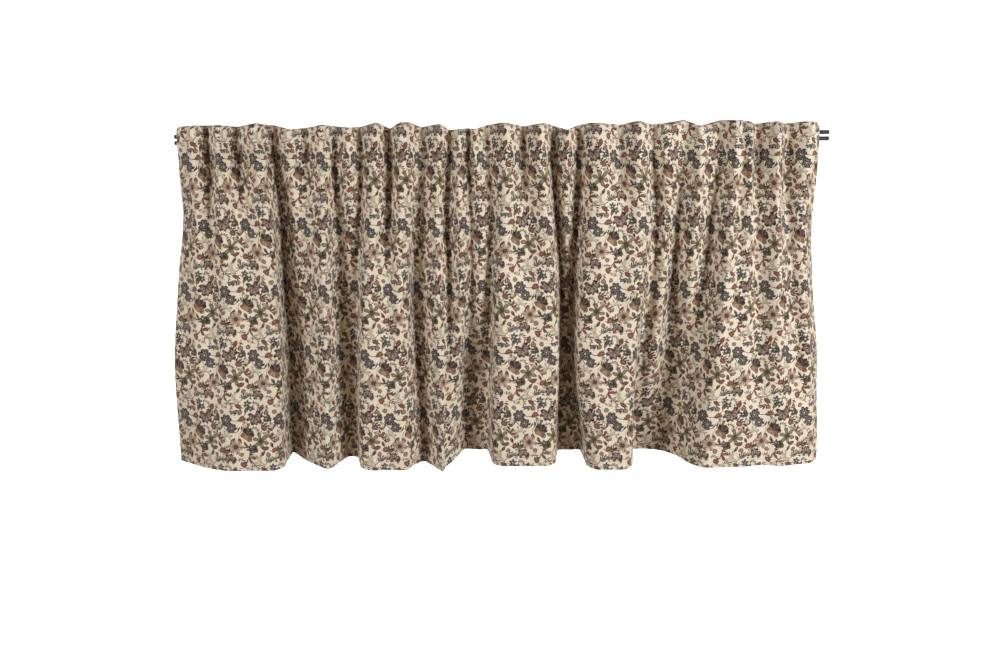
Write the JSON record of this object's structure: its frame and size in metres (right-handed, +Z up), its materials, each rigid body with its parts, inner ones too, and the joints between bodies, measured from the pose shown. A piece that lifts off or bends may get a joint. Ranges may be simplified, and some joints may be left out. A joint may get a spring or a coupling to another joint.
{
  "type": "gathered window valance on a pair of curtain rods",
  "caption": "Short gathered cotton valance with a rod pocket, hung on two slim parallel curtain rods across the top of a window.",
  "frame": {"origin": "centre of the upper rod's left end face, left as seen from the room", "axes": "+X along the rods to the right, +Z up, -Y out into the room, so the printed face looks along -Y"},
  "size_m": [0.8833, 0.0809, 0.4678],
  "materials": {
    "printed_cotton": "matte printed plain-weave cotton, small floral on cream",
    "rod_lacquer": "dark bronze lacquer, satin"
  },
  "bodies": {
    "root": {"window_valance": "printed_cotton", "upper_rod": "rod_lacquer", "lower_rod": "rod_lacquer"}
  },
  "joints": []
}
